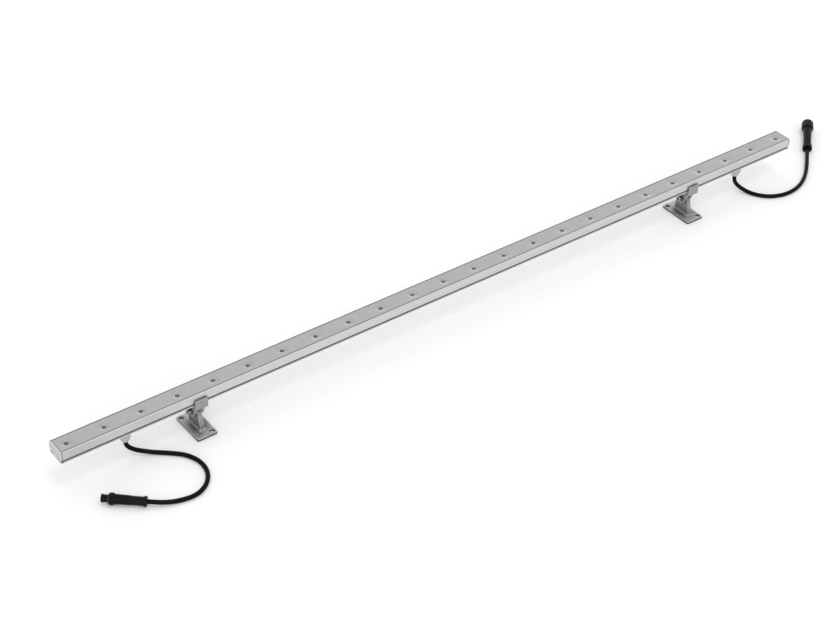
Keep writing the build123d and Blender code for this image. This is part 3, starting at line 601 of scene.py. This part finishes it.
# %% Give every CAD node its finish
slot_of = {part["node"]: part["material_slot"] for part in frame["record"]["subparts"]}
look_of = {
    node: finish_of["foot_alloy_top_lit" if node.endswith("_foot") else slot]
    for node, slot in slot_of.items()
}
for node, finish in look_of.items():
    for material_slot in nodes[node].material_slots:
        material_slot.material = finish
print(f"{len(look_of)} nodes finished")

# %% [markdown]
# ## Turned shapes
#
# A lens well, a lens and the dome of a light source are all round. Each could
# be a cylinder primitive that is pushed into shape, but a list of radius and
# height pairs says exactly what the profile is, as a drawing of a turned part
# does. The helper walks round it ring by ring and closes a ring of no radius
# into one point.

# %% Rings of a turned shape
def add_rings(shape, profile, segments):
    """Add a turned surface about Z to a bmesh.

    profile is (radius, height) in millimetres, from the first to the last ring.
    """
    turns = [2 * pi * i / segments for i in range(segments)]
    rings = []
    for radius, height in profile:
        r, z = radius * MM, height * MM
        if radius == 0:
            rings.append([shape.verts.new((0, 0, z))] * segments)
        else:
            rings.append([shape.verts.new((r * cos(t), r * sin(t), z)) for t in turns])
    for upper, lower in zip(rings, rings[1:]):
        for i in range(segments):
            j = (i + 1) % segments
            corners = [upper[i], upper[j], lower[j], lower[i]]
            shape.faces.new(list(dict.fromkeys(corners)))
    return rings


def dome_profile(radius, foot, rise, steps=6):
    """The profile of a dome of one radius and rise, from its foot up to its tip."""
    lifts = [radians(90 * i / steps) for i in range(steps)]
    return [(radius * cos(t), foot + rise * sin(t)) for t in lifts] + [(0, foot + rise)]


print("turned shapes ready")

# %% [markdown]
# A bmesh is only a workpiece. To be seen it goes into a mesh and an object.
# Shading it flat would show every facet, and shading it smooth would blur its
# corners, so it is smooth with its sharp edges kept.

# %% From a bmesh to a piece
def mesh_piece(name, shape, finish, sharp_from=30):
    """An object with the bmesh as its mesh: smooth, with edges sharper than an angle kept."""
    bmesh.ops.recalc_face_normals(shape, faces=shape.faces)
    mesh = bpy.data.meshes.new(name)
    shape.to_mesh(mesh)
    shape.free()
    mesh.shade_smooth()
    mesh.set_sharp_from_angle(angle=radians(sharp_from))
    mesh.materials.append(finish)
    piece = bpy.data.objects.new(name, mesh)
    scene.collection.objects.link(piece)
    return piece


print("pieces can be made")

# %% [markdown]
# ## A row along the bar
#
# The bar carries 24 lights at an even pitch. Copying a mesh 24 times would
# work once, but then the pitch is buried in the copies. A Geometry Nodes tree
# keeps it as a number: it lays points in a row, puts the piece on each one,
# makes the copies real and merges what touches. Cover, lenses and light
# sources all use this one tree.

# %% Pitch of the lights
light_count = 24
first_light = -487.0
light_pitch = -2 * first_light / (light_count - 1)
print(f"{light_count} lights every {light_pitch:.2f} mm")

# %% Geometry Nodes: row along the bar
row_weld = 0.001 * MM

row_tree, given, result = new_group(
    "row_along_bar",
    "GeometryNodeTree",
    [
        ("Piece", "NodeSocketGeometry", None),
        ("Count", "NodeSocketInt", light_count),
        ("First", FLOAT, first_light * MM),
        ("Pitch", FLOAT, light_pitch * MM),
        ("Finish", "NodeSocketMaterial", None),
    ],
    [("Row", "NodeSocketGeometry")],
)
start = add_node(row_tree, "ShaderNodeCombineXYZ", {"X": given["First"]}).outputs[0]
step = add_node(row_tree, "ShaderNodeCombineXYZ", {"X": given["Pitch"]}).outputs[0]
line = {"Count": given["Count"], "Start Location": start, "Offset": step}
spots = add_node(row_tree, "GeometryNodeMeshLine", line, mode="OFFSET").outputs[0]
placed = {"Points": spots, "Instance": given["Piece"]}
copies = add_node(row_tree, "GeometryNodeInstanceOnPoints", placed).outputs[0]
real = add_node(row_tree, "GeometryNodeRealizeInstances", {"Geometry": copies}).outputs[0]
welded = {"Geometry": real, "Distance": row_weld}
merged = add_node(row_tree, "GeometryNodeMergeByDistance", welded).outputs[0]
dressed = {"Geometry": merged, "Material": given["Finish"]}
finished = add_node(row_tree, "GeometryNodeSetMaterial", dressed).outputs[0]
row_tree.links.new(finished, result["Row"])
print(row_tree.name)

# %% [markdown]
# The tree works through a modifier. It could stay live, but the row then
# exists only while the modifier runs. Its result is kept as a plain mesh
# instead, which rides with the bar like any other piece.

# %% Lay a row
def lay_row(piece, count, first, pitch):
    """Repeat a piece along the bar and leave one plain mesh."""
    row = piece.modifiers.new("row", "NODES")
    row.node_group = row_tree
    values = {"Count": count, "First": first * MM, "Pitch": pitch * MM}
    values["Finish"] = piece.data.materials[0]
    for socket in row_tree.interface.items_tree:
        if socket.in_out == "INPUT" and socket.name in values:
            row[socket.identifier] = values[socket.name]
    repeated = piece.evaluated_get(bpy.context.evaluated_depsgraph_get())
    whole = bpy.data.meshes.new_from_object(repeated)
    piece.modifiers.clear()
    piece.data = whole


print("rows can be laid")

# %% [markdown]
# ## Cover strip
#
# The cover is one strip with a shallow dish round each light and a funnel down
# to the lens. The CAD model cuts plain cones. A pressed dish has a rolled rim
# and a soft bowl, and its near side catches the light as a small bright
# crescent. One tile holds the dish and funnel, and a plain one bridges the gap
# to the next. The tree repeats both, the two rows are welded into one strip,
# and the holes at its two ends are filled.

# %% Sizes of the cover strip
cover_low, cover_high = (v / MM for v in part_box("lens_cover"))
seam_gap = 0.25
cover_top, cover_base, cover_half = cover_high.z, cover_low.z, cover_high.y - seam_gap
tile_half = cover_high.x + first_light
bridge_half = light_pitch / 2 - tile_half

# The bowl's radius and its depth under the top face, from the rim to the funnel.
bowl = [
    (6.1, 0.0), (6.0, 0.03), (5.9, 0.15), (5.8, 0.27), (5.6, 0.33), (5.2, 0.44), (4.7, 0.60),
    (4.2, 0.78), (3.7, 0.96), (3.3, 1.09), (2.95, 1.21), (2.65, 1.37), (2.4, 1.60), (2.2, 1.93),
]
throat_r = 2.1
ring_steps = 48
print(f"cover {2 * cover_half:.1f} mm wide and {cover_top - cover_base:.2f} mm thick")

# %% Faces of a cover tile
def frame_corners(shape, half_x, height):
    """Four corners of a tile at one height, anticlockwise from the front right one."""
    spots = [(half_x, -cover_half), (half_x, cover_half), (-half_x, cover_half)]
    spots += [(-half_x, -cover_half)]
    return [shape.verts.new((x * MM, y * MM, height * MM)) for x, y in spots]


def flat_round_ring(shape, corners, ring):
    """Fill the flat face between a ring and the four corners round it."""
    quarter = len(ring) // 4
    for side in range(4):
        corner, following = corners[side], corners[(side + 1) % 4]
        first = (side * quarter - quarter // 2) % len(ring)
        arc = [ring[(first + i) % len(ring)] for i in range(quarter + 1)]
        shape.faces.new([corner, following, *reversed(arc)])


def long_sides(shape, top, base):
    """Close a tile at its front and back, between its top and its base corners."""
    for side in (1, 3):
        following = (side + 1) % 4
        shape.faces.new([top[side], top[following], base[following], base[side]])


print("tile faces ready")

# %% Cover strip with its dishes
shape = bmesh.new()
well = [(r, cover_top - depth) for r, depth in bowl] + [(throat_r, cover_base)]
rings = add_rings(shape, well, ring_steps)
top = frame_corners(shape, tile_half, cover_top)
base = frame_corners(shape, tile_half, cover_base)
flat_round_ring(shape, top, rings[0])
flat_round_ring(shape, base, rings[-1])
long_sides(shape, top, base)
wells = mesh_piece("cover_wells", shape, finish_of["cover_grey"])
lay_row(wells, light_count, first_light, light_pitch)

shape = bmesh.new()
top = frame_corners(shape, bridge_half, cover_top)
base = frame_corners(shape, bridge_half, cover_base)
shape.faces.new(top)
shape.faces.new(base)
long_sides(shape, top, base)
bridges = mesh_piece("cover_bridges", shape, finish_of["cover_grey"])
lay_row(bridges, light_count - 1, first_light + light_pitch / 2, light_pitch)

# %% Weld both rows into one strip
weld = 0.002 * MM

shape = bmesh.new()
for row in (wells, bridges):
    shape.from_mesh(row.data)
    bpy.data.objects.remove(row)
bmesh.ops.remove_doubles(shape, verts=shape.verts, dist=weld)
bmesh.ops.holes_fill(shape, edges=shape.edges, sides=4)
cover_strip = mesh_piece("cover_strip", shape, finish_of["cover_grey"])
print(f"cover strip: {len(cover_strip.data.polygons)} faces")

# %% [markdown]
# ## Lenses
#
# Under each funnel sits a moulded lens: a cone that gathers the light, a flange
# that the cover clamps, and a small dome that shows in the funnel. A plain disc
# would fill the funnel, but it would not catch the light. The lens is turned
# once from its profile and repeated by the same tree.

# %% Lenses
lens_low, lens_high = (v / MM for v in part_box("lenses"))
flange_r, nose_r = lens_high.y, 2.0
flange_depth, flange_gap, nose_step = 0.7, 0.05, 0.15
lens_steps = 32

# The cone's radius and its height over the lens's lowest point.
cone = [(0, 1.1), (0.9, 0.9), (1.4, 0), (1.9, 0), (2.6, 0.75), (3.6, 1.6), (4.6, 2.35)]
lens_profile = [(r, lens_low.z + rise) for r, rise in cone]
lens_profile += [(flange_r, cover_base - flange_depth), (flange_r, cover_base - flange_gap)]
lens_profile += [(nose_r, cover_base - flange_gap)]
dome_rise = lens_high.z - cover_base - nose_step
lens_profile += dome_profile(nose_r, cover_base + nose_step, dome_rise)

shape = bmesh.new()
add_rings(shape, lens_profile, lens_steps)
lens_row = mesh_piece("lens_row", shape, finish_of["lens_clear"])
lay_row(lens_row, light_count, first_light, light_pitch)
print(f"lenses: {len(lens_row.data.polygons)} faces")

# %% [markdown]
# ## Light sources
#
# On the board under each lens sits the light source: a square package with a
# soft dome. It could be one box, as little of it shows, but the lens enlarges
# it, so it gets bevelled edges and a real dome.

# %% Light sources
led_low, led_high = (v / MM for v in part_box("leds"))
package_side, package_t, package_round = 2 * led_high.y, 0.9, 0.15
package_top = led_low.z + package_t
led_dome_r, dome_sink, led_steps = 1.3, 0.1, 16

shape = bmesh.new()
# The cube's corners lie half a side from its middle.
for corner in bmesh.ops.create_cube(shape, size=1.0)["verts"]:
    x, y, z = corner.co
    height = led_low.z + package_t * (z + 0.5)
    corner.co = Vector((package_side * x, package_side * y, height)) * MM
bmesh.ops.bevel(
    shape, geom=shape.edges[:], offset=package_round * MM, segments=2, affect="EDGES"
)
led_dome = [(0, package_top - dome_sink), (led_dome_r, package_top - dome_sink)]
led_dome += dome_profile(led_dome_r, package_top, led_high.z - package_top)
add_rings(shape, led_dome, led_steps)
light_row = mesh_piece("light_row", shape, finish_of["led_yellow"])
lay_row(light_row, light_count, first_light, light_pitch)
print(f"light sources: {len(light_row.data.polygons)} faces")

# %% [markdown]
# ## Which CAD nodes the rows stand for
#
# The strip, the lenses and the light sources take the place of three CAD nodes. Those nodes are
# hidden, and each row is parented to the body that carries it, the light bar. Those could
# simply be hidden, but the model has to know what stands for what: the CAD nodes stay behind
# for collision, and each row says which one it replaces, which slot its finish belongs to and
# which body carries it.

for piece, node in ((cover_strip, "lens_cover"), (lens_row, "lenses"), (light_row, "leds")):
    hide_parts(node)
    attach(piece, "light_bar")

# %% [markdown]
# ## Softer edges on castings and mouldings
#
# No cast or moulded edge is razor sharp. The CAD solids of the brackets and
# glands have plain corners. Sculpting each one would take long. A copy of the
# CAD mesh gets its flat faces merged, and a Bevel modifier then rounds every
# corner alike, the way a tumbler does.

# %% Rounded copies
bodies = frame["record"]["behaviour"]["bodies"]
body_of = {node: body for body, names in bodies.items() for node in names}
flat_within = radians(0.5)
round_segments = 3


def soften(node, width, sharp_from=30):
    """Replace a CAD node by a copy with rounded edges, width in millimetres."""
    shape = bmesh.new()
    shape.from_mesh(nodes[node].data)
    bmesh.ops.remove_doubles(shape, verts=shape.verts, dist=weld)
    bmesh.ops.dissolve_limit(
        shape, angle_limit=flat_within, verts=shape.verts, edges=shape.edges
    )
    piece = mesh_piece(f"{node}_soft", shape, look_of[node])
    round_off = piece.modifiers.new("round_off", "BEVEL")
    round_off.width = width * MM
    round_off.segments = round_segments
    round_off.limit_method = "ANGLE"
    round_off.angle_limit = radians(sharp_from)
    round_off.harden_normals = True
    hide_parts(node)
    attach(piece, body_of[node])
    return piece


round_of = {
    "{}_clamp": 0.35, "{}_clamp_jaw": 0.35, "{}_foot": 0.25, "gland_nut_{}": 0.3, "gland_{}": 0.25
}
softened = [
    soften(node.format(side), width)
    for side in ("left", "right")
    for node, width in round_of.items()
]
print(f"{len(softened)} pieces softened")

# %% [markdown]
# ## Leads
#
# A lead has a fixed length and lies under its own weight. It drops out of its
# gland, turns along the surface and ends in a connector. A mesh tube bent by
# hand would kink. A NURBS curve with a few points along the route is smooth
# by nature, and its bevel makes the round jacket. The points repeat the route
# that the CAD model settled. The left lead bows round to the front, and the
# right one bows past the end of the bar.

# %% Routes of the leads
left_route = [
    (-0.4230, 0.0, 0.0234), (-0.4230, 0.0, 0.0182), (-0.4204, -0.0012, 0.0130),
    (-0.4140, -0.0036, 0.0080), (-0.4052, -0.0070, 0.0040), (-0.3962, -0.0135, 0.0025),
    (-0.3848, -0.0225, 0.0025), (-0.3723, -0.0348, 0.0025), (-0.3658, -0.0519, 0.0025),
    (-0.3679, -0.0696, 0.0025), (-0.3781, -0.0843, 0.0025), (-0.3947, -0.0925, 0.0025),
    (-0.4127, -0.0895, 0.0025), (-0.4259, -0.0853, 0.0040), (-0.4353, -0.0801, 0.0054),
    (-0.4415, -0.0749, 0.00562),
]
right_route = [
    (0.4230, 0.0, 0.0234), (0.4230, 0.0, 0.0182), (0.4245, -0.0003, 0.0127),
    (0.4275, -0.0026, 0.0076), (0.4309, -0.0086, 0.0041), (0.4342, -0.0186, 0.0025),
    (0.4413, -0.0315, 0.0025), (0.4534, -0.0412, 0.0025), (0.4703, -0.0462, 0.0025),
    (0.4910, -0.0440, 0.0025), (0.5115, -0.0344, 0.0025), (0.5297, -0.0203, 0.0035),
    (0.5458, -0.0045, 0.00547), (0.5583, 0.0079, 0.00605),
]
print(f"{len(left_route)} and {len(right_route)} points")

# %% Leads as smooth curves
cord_r = 2.5 * MM
steps_between_points, jacket_resolution = 12, 6


def lay_lead(name, route):
    """A round jacket along a route."""
    curve = bpy.data.curves.new(name, "CURVE")
    curve.dimensions = "3D"
    spline = curve.splines.new("NURBS")
    spline.points.add(len(route) - 1)
    for point, spot in zip(spline.points, route):
        point.co = (*spot, 1.0)
    spline.order_u = 3
    spline.use_endpoint_u = True
    spline.resolution_u = steps_between_points
    spline.use_smooth = True
    curve.bevel_depth = cord_r
    curve.bevel_resolution = jacket_resolution
    curve.use_fill_caps = True
    curve.materials.append(finish_of["cord_black"])
    lead = bpy.data.objects.new(name, curve)
    scene.collection.objects.link(lead)
    return lead


lead_left = lay_lead("lead_left", left_route)
lead_right = lay_lead("lead_right", right_route)
print("two leads laid")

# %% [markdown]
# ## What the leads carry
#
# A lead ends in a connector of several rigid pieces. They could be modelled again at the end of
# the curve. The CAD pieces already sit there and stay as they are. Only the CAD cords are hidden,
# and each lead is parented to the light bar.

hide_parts("cord_left")
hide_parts("cord_right")
for lead in (lead_left, lead_right):
    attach(lead, "light_bar")
